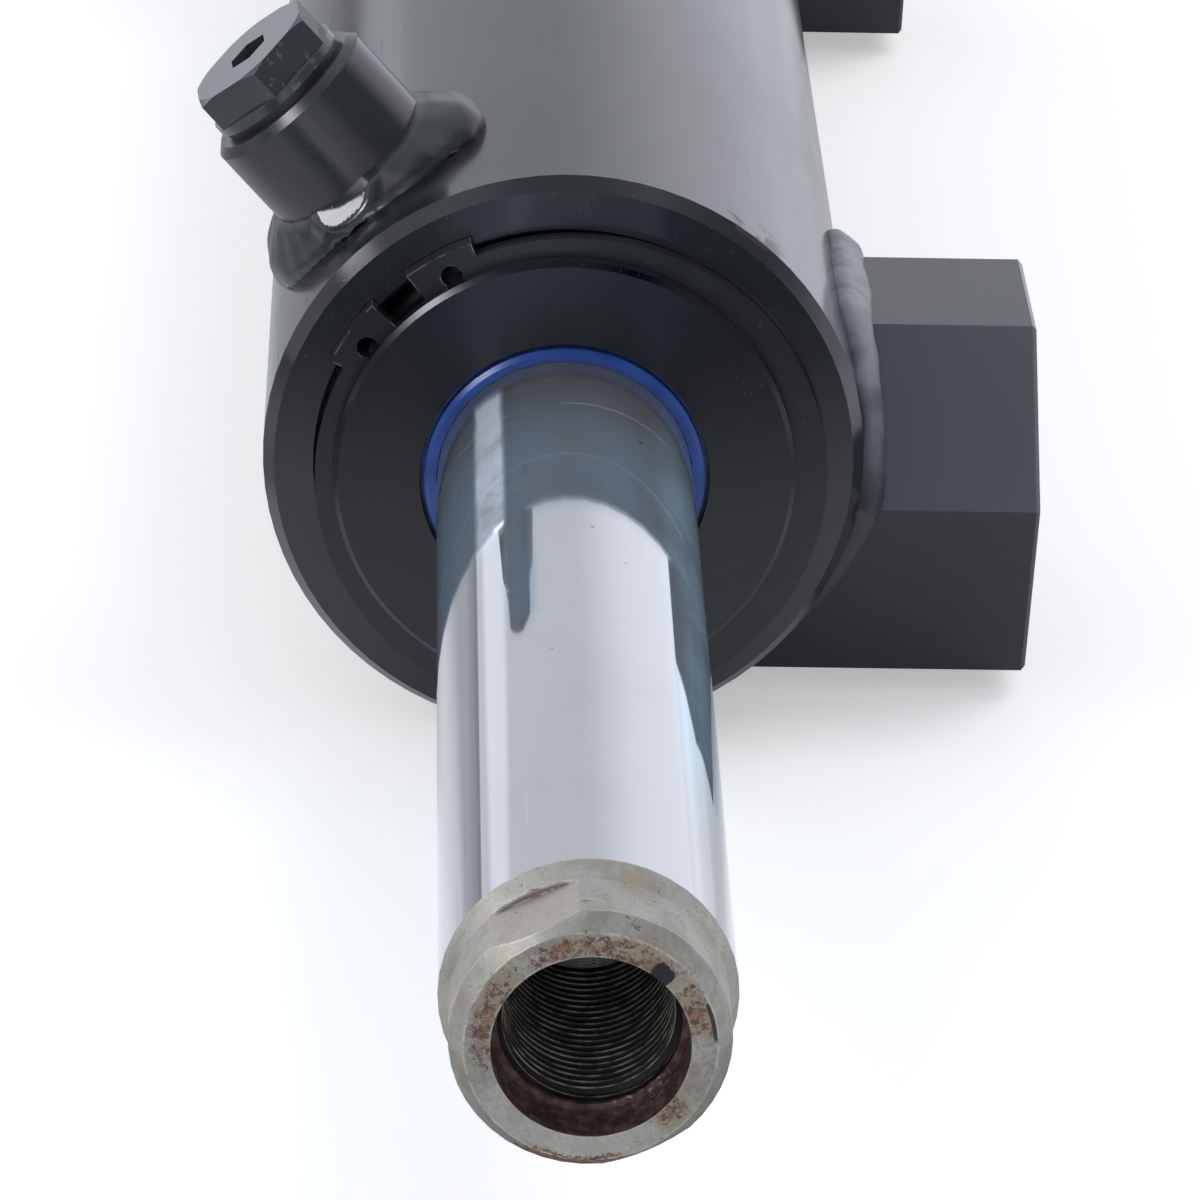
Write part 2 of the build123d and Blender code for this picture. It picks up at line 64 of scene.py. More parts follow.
def place(tree, kind, sockets=None, **settings):
    """Add a node, with its settings and what its sockets hold or are fed by."""
    node = tree.nodes.new(kind)
    for name, value in settings.items():
        setattr(node, name, value)
    feed(node, sockets or {})
    return node


def fed_by(node, name):
    """What a socket of a node is fed by."""
    return node.inputs[name].links[0].from_socket


def effect(name, sizes, results):
    """A node group that several finishes share, with named sizes going in and named results coming out."""
    tree = bpy.data.node_groups.new(name, "ShaderNodeTree")
    for label, value in sizes.items():
        socket = tree.interface.new_socket(label, in_out="INPUT", socket_type="NodeSocketFloat")
        socket.default_value = value
    for label in results:
        tree.interface.new_socket(label, in_out="OUTPUT", socket_type="NodeSocketFloat")
    return tree, tree.nodes.new("NodeGroupInput").outputs, tree.nodes.new("NodeGroupOutput")


def combine(operation, first, *others):
    """Work values out one after another: a sum, a product, the larger one and so on."""
    tree = next(value.id_data for value in (first, *others) if isinstance(value, bpy.types.NodeSocket))
    for other in others or (0.0,):
        first = place(tree, "ShaderNodeMath", {0: first, 1: other}, operation=operation).outputs[0]
    return first


plus, minus, times, over, larger, smaller, unsigned = (
    partial(combine, operation)
    for operation in ("ADD", "SUBTRACT", "MULTIPLY", "DIVIDE", "MAXIMUM", "MINIMUM", "ABSOLUTE")
)


def ramp(value, low, high, start=0.0, end=1.0):
    """Turn a changing value into a soft mask that goes from start to end between low and high."""
    sockets = {"Value": value, "From Min": low, "From Max": high, "To Min": start, "To Max": end}
    node = place(value.id_data, "ShaderNodeMapRange", sockets, interpolation_type="SMOOTHSTEP")
    return node.outputs["Result"]


def tint(mask, below, above):
    """A colour that goes from the one below to the one above as the mask goes from 0 to 1."""
    below, above = ((*colour, 1.0) if isinstance(colour, tuple) else colour for colour in (below, above))
    return place(mask.id_data, "ShaderNodeMix", {0: mask, 6: below, 7: above}, data_type="RGBA").outputs[2]


def alignment(first, second):
    """How well two directions agree: 1 where they are the same and 0 where they are square to each other."""
    node = place(first.id_data, "ShaderNodeVectorMath", {0: first, 1: second}, operation="DOT_PRODUCT")
    return node.outputs["Value"]


def position(tree):
    """Where a point of the piece lies: X to the side, Y along the barrel and Z upwards, in metres."""
    where = place(tree, "ShaderNodeTexCoord").outputs["Object"]
    return place(tree, "ShaderNodeSeparateXYZ", {"Vector": where}).outputs


def grain(tree, scale, detail=3.0, stretch=None, slant=(0.0, 0.0, 0.0), roughness=0.55):
    """Noise fixed to the piece, about one grain to each 1/scale metres, drawn out and slanted if wanted."""
    where = place(tree, "ShaderNodeTexCoord").outputs["Object"]
    if stretch is not None:
        sockets = {"Vector": where, "Rotation": slant, "Scale": stretch}
        where = place(tree, "ShaderNodeMapping", sockets).outputs["Vector"]
    sockets = {"Vector": where, "Scale": scale, "Detail": detail, "Roughness": roughness}
    return place(tree, "ShaderNodeTexNoise", sockets).outputs[0]


# Sprayed skin: the slow waves of the paint film and the dust grains caught in it
sprayed_skin, skin_size, skin_result = effect(
    "sprayed skin", {"Peel": 520.0, "Cloud": 26.0}, ("Height", "Cloud", "Specks")
)
specks = ramp(grain(sprayed_skin, 1500.0, 1.0), 0.70, 0.78)
feed(skin_result, {
    "Height": plus(grain(sprayed_skin, skin_size["Peel"], 2.0), specks),
    "Cloud": ramp(grain(sprayed_skin, skin_size["Cloud"], 4.0), 0.35, 0.7),
    "Specks": specks,
})

# Worn edges: where an outward edge has been rubbed, broken up so that no edge is bare all along
worn_edges, edge_size, edge_result = effect(
    "worn edges", {"Width": 0.0004, "Breaks": 260.0, "Wear": 0.5}, ("Mask",)
)
rounded = place(worn_edges, "ShaderNodeBevel", {"Radius": edge_size["Width"]}, samples=4).outputs["Normal"]
unrounded = place(worn_edges, "ShaderNodeNewGeometry").outputs["Normal"]
bend = ramp(alignment(rounded, unrounded), 0.998, 0.90)
chips = grain(worn_edges, edge_size["Breaks"], 4.0, roughness=0.7)
feed(edge_result, {"Mask": times(bend, ramp(plus(edge_size["Wear"], chips), 0.95, 1.05))})

# Handling marks: fine scratches in two directions and dull finger smears
handling, mark_size, mark_result = effect("handling marks", {"Marks": 1.0}, ("Scratches", "Smears"))
along = ramp(grain(handling, 900.0, 2.0, stretch=(1.0, 0.03, 1.0)), 0.66, 0.72)
across = grain(handling, 700.0, 2.0, stretch=(1.0, 0.025, 1.0), slant=(0.5, 0.3, 0.9), roughness=0.5)
scratched = ramp(grain(handling, 45.0, 3.0), 0.5, 0.62)
scratches = times(larger(along, ramp(across, 0.67, 0.73)), scratched)
smears = ramp(grain(handling, 30.0, 5.0, stretch=(1.0, 0.5, 1.0)), 0.45, 0.75)
feed(mark_result, {
    "Scratches": times(scratches, mark_size["Marks"]),
    "Smears": times(smears, mark_size["Marks"]),
})


def start_finish(name):
    """A new material with its surface shader."""
    material = bpy.data.materials.new(name)
    material.use_nodes = True
    return material, material.node_tree, material.node_tree.nodes["Principled BSDF"]


def use_effect(tree, group, **sizes):
    """Place a shared effect in a finish, with this finish's own sizes."""
    node = tree.nodes.new("ShaderNodeGroup")
    node.node_tree = group
    feed(node, sizes)
    return node.outputs


def bump(surface, height, depth):
    """Let a height, scaled to a real depth in metres, tilt the surface."""
    node = place(height.id_data, "ShaderNodeBump", {"Height": height, "Distance": depth})
    feed(surface, {"Normal": node.outputs["Normal"]})


def black_paint(name, deep, worn, gloss, dull, peel_depth, wear, bare=(0.30, 0.29, 0.27)):
    """Sprayed black paint with its own depth of colour, gloss, orange peel and wear."""
    material, tree, surface = start_finish(name)
    skin = use_effect(tree, sprayed_skin)
    marks = use_effect(tree, handling)
    edges = use_effect(tree, worn_edges, Wear=wear)
    colour = tint(skin["Cloud"], deep, worn)
    colour = tint(times(skin["Specks"], 0.12), colour, (0.14, 0.145, 0.15))
    colour = tint(times(marks["Scratches"], 0.10), colour, (0.10, 0.105, 0.11))
    colour = tint(edges["Mask"], colour, bare)
    rough = plus(times(marks["Smears"], dull - gloss), gloss, times(marks["Scratches"], 0.10))
    feed(surface, {"Base Color": colour, "Roughness": rough, "IOR": 1.52})
    feed(surface, {"Metallic": times(edges["Mask"], 0.8)})
    bump(surface, skin["Height"], peel_depth)
    return material, tree, surface, colour


def dress(material, *names):
    """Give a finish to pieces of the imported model."""
    for name in names:
        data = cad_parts[name].data
        if not data.materials:
            data.materials.append(material)
        for number in range(len(data.materials)):
            data.materials[number] = material


barrel_paint, tree, surface, colour = black_paint(
    "barrel paint", (0.012, 0.0140, 0.0185), (0.018, 0.0205, 0.0255), 0.13, 0.21, 0.000004, 0.14
)
# A brownish stain just behind each rim, right of the top, broken up and fading away from the rim
parts = position(tree)
from_middle = unsigned(parts["Y"])
near_rim = ramp(from_middle, barrel_end - 0.014, barrel_end - 0.004)
beside = ramp(parts["X"], rod_axis_x + 0.020, rod_axis_x + 0.024)
short_of = ramp(parts["X"], rod_axis_x + 0.032, rod_axis_x + 0.028)
blotch = ramp(grain(tree, 260.0, 4.0), 0.47, 0.56)
off_chamfer = ramp(from_middle, barrel_end - 0.0014, barrel_end - 0.0020)
stain = times(near_rim, times(blotch, off_chamfer), times(beside, short_of))
feed(surface, {
    "Base Color": tint(times(stain, 0.5), colour, (0.030, 0.022, 0.016)),
    "Roughness": plus(fed_by(surface, "Roughness"), times(stain, 0.25)),
})
dress(barrel_paint, "barrel_tube")

# Wire rings: round drawn spring wire in the grooves of the tube, which hold the glands in.
# They are hidden in the finished cylinder and stay bright, with a film of oil.
wire_finish, tree, surface = start_finish("drawn wire")
draw_lines = grain(tree, 1400.0, 2.0, stretch=(0.15, 1.0, 0.15))
feed(surface, {
    "Base Color": tint(draw_lines, (0.30, 0.30, 0.31), (0.46, 0.46, 0.47)),
    "Roughness": ramp(draw_lines, 0.3, 0.7, 0.22, 0.38),
    "Metallic": 1.0,
})
bump(surface, draw_lines, 0.00001)
dress(wire_finish, "front_wire_ring", "rear_wire_ring")

# Glands: rod guides turned from steel bar and pushed into the tube's ends.
# Their noses are painted with the barrel, and the tool's rings still show through as faint circles.
turning_marks, turning_size, turning_result = effect(
    "turning marks", {"Pitch": 0.00022}, ("Height", "Distance")
)


def off_axis(parts):
    """How far a point is from the cylinder's axis, to the side and upwards."""
    return minus(parts["X"], rod_axis_x), minus(parts["Z"], rod_axis_z)


parts = position(turning_marks)
out_x, out_z = off_axis(parts)
from_axis = combine("SQRT", plus(times(out_x, out_x), times(out_z, out_z)))
reach = plus(from_axis, unsigned(parts["Y"]))
rings = combine("SINE", over(times(reach, 2 * pi), turning_size["Pitch"]))
uneven = place(
    turning_marks, "ShaderNodeTexNoise", {"W": reach, "Scale": 2600.0, "Detail": 2.0}, noise_dimensions="1D"
).outputs[0]
feed(turning_result, {"Height": plus(times(rings, 0.35), uneven), "Distance": from_axis})

gland_paint, tree, surface, _ = black_paint(
    "gland paint", (0.0070, 0.0085, 0.0122), (0.0102, 0.0122, 0.0168), 0.22, 0.32, 0.000004, 0.12
)
turned = use_effect(tree, turning_marks)
bumps = fed_by(surface, "Normal").node
feed(bumps, {"Height": plus(fed_by(bumps, "Height"), times(turned["Height"], 0.6))})
feed(surface, {"IOR": 1.45})
dress(gland_paint, "front_gland", "rear_gland")

# Circlips: stamped from spring steel strip, tapered away from the two lugs that the pliers hold by their holes.
# They went on before the paint. The corners of the lugs are painted bright, as rubbed steel and as a painted
# highlight.
lug_angle = radians(133)
circlip_paint, tree, surface, _ = black_paint(
    "circlip paint", (0.012, 0.0135, 0.0175), (0.019, 0.0210, 0.0260), 0.22, 0.36, 0.000004, 0.44,
    bare=(0.34, 0.33, 0.32),
)
turned = use_effect(tree, turning_marks)
out_x, out_z = off_axis(position(tree))
lug_side = plus(times(out_x, cos(lug_angle)), times(out_z, sin(lug_angle)))
# Near the lugs more bare steel is painted: rubbed wear and a painted highlight.
lug_wear_and_highlight = ramp(over(lug_side, turned["Distance"]), 0.90, 0.94)
edges = next(node for node in tree.nodes if node.type == "GROUP" and node.node_tree == worn_edges)
feed(edges, {"Wear": plus(times(lug_wear_and_highlight, 0.40), 0.10)})
feed(surface, {"IOR": 1.42})
dress(circlip_paint, "front_circlip", "rear_circlip")

# Wipers: turned from cast blue polyurethane, the lip standing out of the gland round the rod.
# Slightly glossy at the lip, and darker and duller towards the outer edge where it meets the gland.
wiper_blue, tree, surface = start_finish("blue polyurethane")
turned = use_effect(tree, turning_marks, Pitch=0.0003)
uneven = ramp(grain(tree, 420.0, 3.0), 0.3, 0.6, 0.4, 1.0)
# Darker and duller towards the outer edge, next to the gland.
darker_outer_band = times(ramp(turned["Distance"], 0.0194, 0.0203), uneven)
lip_blue = tint(ramp(grain(tree, 160.0, 2.0), 0.3, 0.7), (0.016, 0.058, 0.27), (0.028, 0.088, 0.36))
feed(surface, {
    "Base Color": tint(darker_outer_band, lip_blue, (0.008, 0.012, 0.03)),
    "Roughness": ramp(darker_outer_band, 0.0, 1.0, 0.30, 0.55),
    "Subsurface Weight": 0.06,
    "Subsurface Radius": (0.0006, 0.0008, 0.002),
})
bump(surface, turned["Height"], 0.000006)
dress(wiper_blue, "front_wiper", "rear_wiper")

# Rod seals: polyurethane U-rings behind the wipers, a duller green-blue and always oily.
# They are moulded, so their skin is smooth with a very fine grain.
seal_finish, tree, surface = start_finish("oily seal")
oil = ramp(grain(tree, 180.0, 3.0), 0.35, 0.65)
feed(surface, {
    "Base Color": tint(oil, (0.030, 0.13, 0.19), (0.045, 0.19, 0.26)),
    "Roughness": ramp(oil, 0.0, 1.0, 0.12, 0.30),
})
bump(surface, grain(tree, 900.0, 2.0), 0.000008)
dress(seal_finish, "front_rod_seal", "rear_rod_seal")

# Guide and wear rings: cut from strip of cotton cloth in hard brown resin.
# Two lie in each gland and two on the piston, and the weave is just visible.
cloth_finish, tree, surface = start_finish("resin cloth")
where = place(tree, "ShaderNodeTexCoord").outputs["Object"]
threads = {"Vector": where, "Scale": 420.0, "Distortion": 1.2, "Detail": 1.0}
warp = place(tree, "ShaderNodeTexWave", threads, bands_direction="Y").outputs[1]
weft = place(tree, "ShaderNodeTexWave", threads, bands_direction="DIAGONAL").outputs[1]
weave = times(warp, weft)
feed(surface, {
    "Base Color": tint(weave, (0.16, 0.085, 0.035), (0.33, 0.19, 0.085)),
    "Roughness": ramp(weave, 0.0, 1.0, 0.35, 0.55),
})
bump(surface, weave, 0.00003)
dress(cloth_finish, "front_rod_guide_rings", "rear_rod_guide_rings", "piston_wear_rings")

# Rubber rings: moulded from nitrile rubber, matt black with a bloom of assembly grease.
# One seals each gland in the tube, one the piston on the rod, and one presses the slide ring outwards.
rubber_finish, tree, surface = start_finish("nitrile rubber")
bloom = ramp(grain(tree, 240.0, 4.0), 0.4, 0.7)
feed(surface, {
    "Base Color": tint(bloom, (0.012, 0.012, 0.012), (0.032, 0.031, 0.029)),
    "Roughness": ramp(bloom, 0.0, 1.0, 0.32, 0.58),
})
bump(surface, grain(tree, 1300.0, 2.0), 0.00001)
dress(rubber_finish, "front_gland_o_ring", "rear_gland_o_ring", "piston_bore_o_ring", "piston_seal_energiser")

# Backup rings: skived from white fluoroplastic tube, slightly yellowed by the oil.
# They lie beside the glands' rubber rings and keep them from being squeezed into the gap.
backup_finish, tree, surface = start_finish("white fluoroplastic")
yellowed = ramp(grain(tree, 130.0, 3.0), 0.3, 0.7)
feed(surface, {
    "Base Color": tint(yellowed, (0.72, 0.70, 0.64), (0.62, 0.56, 0.44)),
    "Roughness": ramp(yellowed, 0.0, 1.0, 0.34, 0.46),
})
bump(surface, use_effect(tree, turning_marks)["Height"], 0.000008)
dress(backup_finish, "front_gland_backup_ring", "rear_gland_backup_ring")

# Piston's slide ring: fluoroplastic filled with bronze powder, turned, brown with bright grains.
# It runs on the honed bore, pushed out by the rubber ring under it.
slide_finish, tree, surface = start_finish("bronze-filled ring")
bronze = ramp(grain(tree, 5200.0, 1.0), 0.58, 0.66)
feed(surface, {
    "Base Color": tint(bronze, (0.12, 0.075, 0.045), (0.42, 0.27, 0.13)),
    "Metallic": bronze,
    "Roughness": ramp(bronze, 0.0, 1.0, 0.48, 0.30),
})
bump(surface, use_effect(tree, turning_marks)["Height"], 0.000008)
dress(slide_finish, "piston_seal")

# Port bosses: short lengths of round bar, drilled and tapped, coped to the tube and welded on.
# The spray came from above, so the paint is thinner and duller on their sides.
boss_radius = 0.013
boss_paint = black_paint(
    "boss paint", (0.020, 0.0225, 0.0285), (0.029, 0.0325, 0.0395), 0.20, 0.34, 0.000006, 0.22
)[0]
dress(boss_paint, "front_port_boss", "rear_port_boss")

# Welds: hand-laid beads in short overlapping steps, lumpy and painted over.
# Each is grown from the welded solid's own shape, so it keeps its seat on the tube and on the piece it holds.
# On a port's bead a thick run of paint has stayed glossy, and the top of a block's bead is painted paler in
# patches, as dust and as a painted highlight.
pool_at = Vector((-0.1005, 0.1616, 0.0466))
weld_paint, tree, surface, _ = black_paint(
    "weld paint", (0.023, 0.0260, 0.0325), (0.036, 0.0400, 0.0475), 0.30, 0.44, 0.000005, 0.03
)
parts = position(tree)
same_at_both_ends = {"X": parts["X"], "Y": unsigned(parts["Y"]), "Z": parts["Z"]}
where = place(tree, "ShaderNodeCombineXYZ", same_at_both_ends).outputs["Vector"]
from_pool = place(tree, "ShaderNodeVectorMath", {0: where, 1: pool_at}, operation="DISTANCE").outputs["Value"]
dry_rough = fed_by(surface, "Roughness")
feed(surface, {"Roughness": plus(dry_rough, times(minus(0.09, dry_rough), ramp(from_pool, 0.0074, 0.0062)))})
dull_weld_paint, tree, surface, colour = black_paint(
    "dull weld paint", (0.018, 0.0205, 0.0260), (0.036, 0.0400, 0.0480), 0.46, 0.60, 0.000006, 0.03
)
# Paler in patches towards the top: dust and a painted highlight from the light above.
dust_and_top_highlight = times(ramp(position(tree)["Z"], 0.004, 0.026), ramp(grain(tree, 210.0, 4.0), 0.30, 0.62, 0.45, 1.0))
feed(surface, {"Base Color": tint(dust_and_top_highlight, colour, (0.26, 0.270, 0.295))})
port_setback = 0.029
port_slant = radians(48.0)
mount_setback = 0.035
mount_corners = (
    (0.0185, 0.0250), (-0.0085, 0.0250), (-0.0285, 0.0043),
    (-0.0185, -0.0250), (0.0085, -0.0250), (0.0285, -0.0043),
)
steps_round_port = 26
block_step = 0.0038
bead_sink = 0.0004
least_foot = 0.0017
least_rise = 0.0013
pool_radius = 0.0064
pool_edge = 0.0020
pool_flatness = 0.92


def even_copy(node, name, voxel):
    """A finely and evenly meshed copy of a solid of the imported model."""
    piece = bpy.data.objects.new(name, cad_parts[node].data.copy())
    bpy.context.scene.collection.objects.link(piece)
    work = bmesh.new()
    work.from_mesh(piece.data)
    bmesh.ops.remove_doubles(work, verts=work.verts, dist=0.000002)
    work.to_mesh(piece.data)
    work.free()
    remesh = piece.modifiers.new("even", "REMESH")
    remesh.mode = "VOXEL"
    remesh.voxel_size = voxel
    made = bpy.data.meshes.new_from_object(piece.evaluated_get(bpy.context.evaluated_depsgraph_get()))
    piece.modifiers.clear()
    piece.data = made
    piece.data.materials.clear()
    return piece


def within(value):
    """A value kept between 0 and 1."""
    return min(max(value, 0.0), 1.0)


def lay_bead(piece, step_at, seat, rounding, lift, lumps, low_limit=-1.0, fullness=None, pool=None):
    """Raise the steps and lumps of a hand-laid bead on a meshed copy of its solid.

    step_at gives where a point lies in the steps and how far out, and seat gives the way to the piece that is
    welded on and how far off it is. The bead runs out where fullness falls to 0. Paint lies flat at the pool.
    """
    work = bmesh.new()
    work.from_mesh(piece.data)
    all_axes = {"use_axis_x": True, "use_axis_y": True, "use_axis_z": True}
    for _ in range(rounding):
        bmesh.ops.smooth_vert(work, verts=work.verts, factor=0.5, **all_axes)
    work.normal_update()
    moved = []
    for vert in work.verts:
        along, out = step_at(vert.co)
        step = 0.5 + 0.5 * cos(along + 500.0 * out + 2.5 * noise.noise(vert.co * 110.0))
        shown = within(0.5 + 2.0 * noise.noise(vert.co * 60.0 + Vector((9.0, 2.0, 4.0))))
        rise = lift * shown * (step - 0.4)
        rise += lumps * (noise.noise(vert.co * 88.0 + Vector((3.0, 1.0, 7.0))) + 0.22)
        rise += 0.10 * lumps * noise.noise(vert.co * 240.0)
        if fullness is not None:
            rise = (rise + bead_sink) * fullness(vert.co) - bead_sink
        goal = vert.co + vert.normal * rise
        inward, gap = seat(goal)
        goal += inward * max(least_foot - gap, 0.0)
        from_axis = Vector((goal.x - rod_axis_x, 0.0, goal.z - rod_axis_z))
        goal -= from_axis.normalized() * max(least_rise - from_axis.length + barrel_radius, 0.0)
        goal.z = max(goal.z, low_limit)
        if pool is not None:
            middle, outward = pool
            off = goal - middle
            flatness = pool_flatness * within((pool_radius - off.length) / pool_edge)
            goal -= outward * (off.dot(outward) * flatness)
        moved.append((vert, goal))
    for vert, goal in moved:
        vert.co = goal
    work.to_mesh(piece.data)
    work.free()
    for face in piece.data.polygons:
        face.use_smooth = True


def round_port(end):
    """Where a point of a port's bead lies in the steps round the boss, and how far off the boss."""
    across = Vector((sin(port_slant), 0.0, cos(port_slant)))
    foot = Vector((rod_axis_x, end * (barrel_end - port_setback), rod_axis_z))

    def step_at(point):
        seen = point - foot
        first, second = seen.y, seen.dot(across)
        return steps_round_port * atan2(second, first), hypot(first, second) - boss_radius

    def seat(point):
        seen = point - foot
        out = Vector((0.0, seen.y, 0.0)) + across * seen.dot(across)
        return -out.normalized(), out.length - boss_radius
    return step_at, seat


def round_block(end):
    """Where a point of a block's bead lies in the steps round the block, and how far off the block."""
    corners = [Vector(corner) for corner in mount_corners]
    middle = end * (barrel_end - mount_setback)

    def step_at(point):
        seen = Vector((point.y - middle, point.z))
        best, way, walked = 1.0, 0.0, 0.0
        for number, corner in enumerate(corners):
            side = corners[(number + 1) % 6] - corner
            share = within((seen - corner).dot(side) / side.length_squared)
            gap = (seen - corner - side * share).length
            if gap < best:
                best, way = gap, walked + share * side.length
            walked += side.length
        return way * 2 * pi / block_step, best

    def seat(point):
        centre_out = Vector((0.0, point.y - middle, point.z))
        return -centre_out.normalized(), step_at(point)[1]
    return step_at, seat


def keep_bead(piece, paint, node):
    """Put a finished bead in the place of its solid."""
    piece.data.materials.append(paint)
    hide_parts(node)
    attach(piece, "barrel")


lowest_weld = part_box("barrel_tube")[0].z + 0.0001
for end_name, end in (("front", -1), ("rear", 1)):
    port_bead = even_copy(end_name + "_port_weld", end_name + "_port_bead", 0.0006)
    pool_middle = Vector((pool_at.x, end * pool_at.y, pool_at.z))
    pool_outward = Vector((-0.601, end * 0.517, 0.610)).normalized()
    lay_bead(
        port_bead, *round_port(end), rounding=16, lift=0.00010, lumps=0.0021, pool=(pool_middle, pool_outward)
    )
    keep_bead(port_bead, weld_paint, end_name + "_port_weld")
    mount_bead = even_copy(end_name + "_mount_weld", end_name + "_mount_bead", 0.0008)
    lay_bead(
        mount_bead, *round_block(end), rounding=18, lift=0.00005, lumps=0.0007, low_limit=lowest_weld,
        fullness=lambda point: within((point.z + 0.004) / 0.012),
    )
    keep_bead(mount_bead, dull_weld_paint, end_name + "_mount_weld")

# Port plugs: cold-headed steel plugs with a hexagon head, a round collar and a hexagon socket, painted over.
# The key and the spanner have rubbed their corners, and a few knocks show through on the flats.
plug_paint, tree, surface, colour = black_paint(
    "plug paint", (0.032, 0.0360, 0.0425), (0.048, 0.0530, 0.0600), 0.13, 0.24, 0.000005, 0.36
)
knock = ramp(grain(tree, 330.0, 5.0, roughness=0.65), 0.60, 0.66)
colour = tint(times(knock, 0.5), colour, (0.15, 0.145, 0.13))
# The head's end face is painted paler and bluer: a painted reflection of the bright room above.
outward = place(tree, "ShaderNodeNewGeometry").outputs["Normal"]
head_face_reflection = ramp(alignment(outward, (-sin(port_slant), 0.0, cos(port_slant))), 0.90, 0.97)
feed(surface, {"Base Color": tint(times(head_face_reflection, 0.80), colour, (0.16, 0.180, 0.192))})
dress(plug_paint, "front_port_plug", "rear_port_plug")

# Sealing washers: thin steel rings with a rubber edge, pressed between a plug's collar and its boss.
# They are seen only as a dark line.
washer_finish = black_paint(
    "washer paint", (0.008, 0.0085, 0.010), (0.014, 0.015, 0.017), 0.40, 0.55, 0.000006, 0.10
)[0]
dress(washer_finish, "front_port_plug_seal", "rear_port_plug_seal")

# Mounting blocks: sawn from a rolled bar of irregular hexagon section, machined on the outer face and tapped.
# Painted with the barrel. Their upper slanted sides are painted paler, a painted highlight for the light from
# above.
block_paint, tree, surface, colour = black_paint(
    "block paint", (0.0100, 0.0118, 0.0160), (0.0145, 0.0168, 0.0215), 0.17, 0.28, 0.000005, 0.16
)
outward = place(tree, "ShaderNodeNewGeometry").outputs["Normal"]
outward = place(tree, "ShaderNodeSeparateXYZ", {"Vector": outward}).outputs
# Upward-facing slanted sides are painted paler: a painted highlight.
slant_highlight = times(ramp(outward["Z"], 0.3, 0.6), ramp(unsigned(outward["Y"]), 0.3, 0.6))
feed(surface, {"Base Color": tint(slant_highlight, colour, (0.092, 0.102, 0.114))})
dress(block_paint, "front_mount_block", "rear_mount_block")

# Threads: cut with a tap, M20 in the blocks and M22 in the rod's ends, oily and dark with crests painted
# bright.
# Each is one continuous helix of ridges on the wall of its bore, running out at both ends.
rod_end = 0.3545
counterbore_floor = rod_end - 0.0067
clear_of_wall = 0.00002
depth_to_pitch = 0.5413
ridge_section = (
    (0.00, 0.0), (0.06, 0.02), (0.365, 0.86), (0.42, 1.0),
    (0.57, 1.0), (0.66, 0.78), (0.94, 0.02), (1.00, 0.0),
)
crest_sides = (2, 3)
thread_steel, tree, surface = start_finish("cut thread")
oil = ramp(grain(tree, 300.0, 4.0), 0.35, 0.7)
feed(surface, {
    "Base Color": tint(oil, (0.009, 0.008, 0.0075), (0.026, 0.022, 0.019)),
    "Roughness": ramp(oil, 0.0, 1.0, 0.42, 0.6),
    "Metallic": 0.5,
})
bump(surface, grain(tree, 1400.0, 2.0), 0.000004)
crest_steel, tree, surface = start_finish("rubbed thread crest")
# The crests are painted light as rubbed steel and as a painted highlight, strongest on the lower side, where
# the light falls into the bore.
lit_lower_side = ramp(position(tree)["Z"], rod_axis_z + 0.007, rod_axis_z - 0.004, 0.22, 1.0)
rubbed_and_lit = times(ramp(grain(tree, 380.0, 3.0), 0.36, 0.66), lit_lower_side)
feed(surface, {
    "Base Color": tint(rubbed_and_lit, (0.06, 0.052, 0.042), (0.36, 0.325, 0.265)),
    "Roughness": ramp(rubbed_and_lit, 0.0, 1.0, 0.55, 0.38),
    "Metallic": 0.3,
})
bump(surface, grain(tree, 1400.0, 2.0), 0.000004)


def cut_thread(name, start, direction, across, radius, pitch, length, body):
    """One helix of ridges inside a bore that runs from start along direction."""
    up = direction.cross(across)
    steps = 72
    run_out = steps * 0.6
    total = int(steps * (length / pitch - 1.0))
    points = []
    for number in range(total + 1):
        turn = 2 * pi * number / steps
        fade = min(1.0, number / run_out, (total - number) / run_out)
        out = across * cos(turn) + up * sin(turn)
        for share, height in ridge_section:
            ahead = direction * (pitch * (number / steps + share))
            rise = depth_to_pitch * pitch * height * fade
            points.append(start + ahead + out * (radius - clear_of_wall - rise))
    faces = []
    width = len(ridge_section)
    for number in range(total):
        for side in range(width - 1):
            first = number * width + side
            faces.append((first, first + 1, first + width + 1, first + width))
    mesh = bpy.data.meshes.new(name)
    mesh.from_pydata(points, [], faces)
    mesh.materials.append(thread_steel)
    mesh.materials.append(crest_steel)
    for number, face in enumerate(mesh.polygons):
        face.material_index = 1 if number % (width - 1) in crest_sides else 0
    piece = bpy.data.objects.new(name, mesh)
    bpy.context.scene.collection.objects.link(piece)
    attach(piece, body)


for end_name, end in (("front", -1), ("rear", 1)):
    cut_thread(
        end_name + "_block_thread", Vector((-0.0002, end * (barrel_end - mount_setback), 0.0)),
        direction=Vector((-1, 0, 0)), across=Vector((0, 1, 0)), radius=0.010, pitch=0.0025, length=0.0236,
        body="barrel",
    )
    cut_thread(
        end_name + "_rod_thread", Vector((rod_axis_x, end * counterbore_floor, rod_axis_z)),
        direction=Vector((0, -end, 0)), across=Vector((1, 0, 0)), radius=0.011, pitch=0.0015, length=0.0352,
        body="rod",
    )

# Piston rod: induction-hardened bar, ground, hard-chromed and polished between the ends.
# The ends are turned bare after plating: a cone, a spigot with two spanner flats and a bored, tapped end.
# They carry thin rust round the hole, and the counterbore is brown with it.
rod_finish, tree, surface = start_finish("chromed rod")
parts = position(tree)
turned = use_effect(tree, turning_marks, Pitch=0.00025)
touch = use_effect(tree, handling)
from_middle = unsigned(parts["Y"])
out_x, out_z = off_axis(parts)


def past_barrel(start, end):
    """A soft mask along the rod, between two distances from the barrel's rim."""
    return ramp(from_middle, barrel_end + start, barrel_end + end)


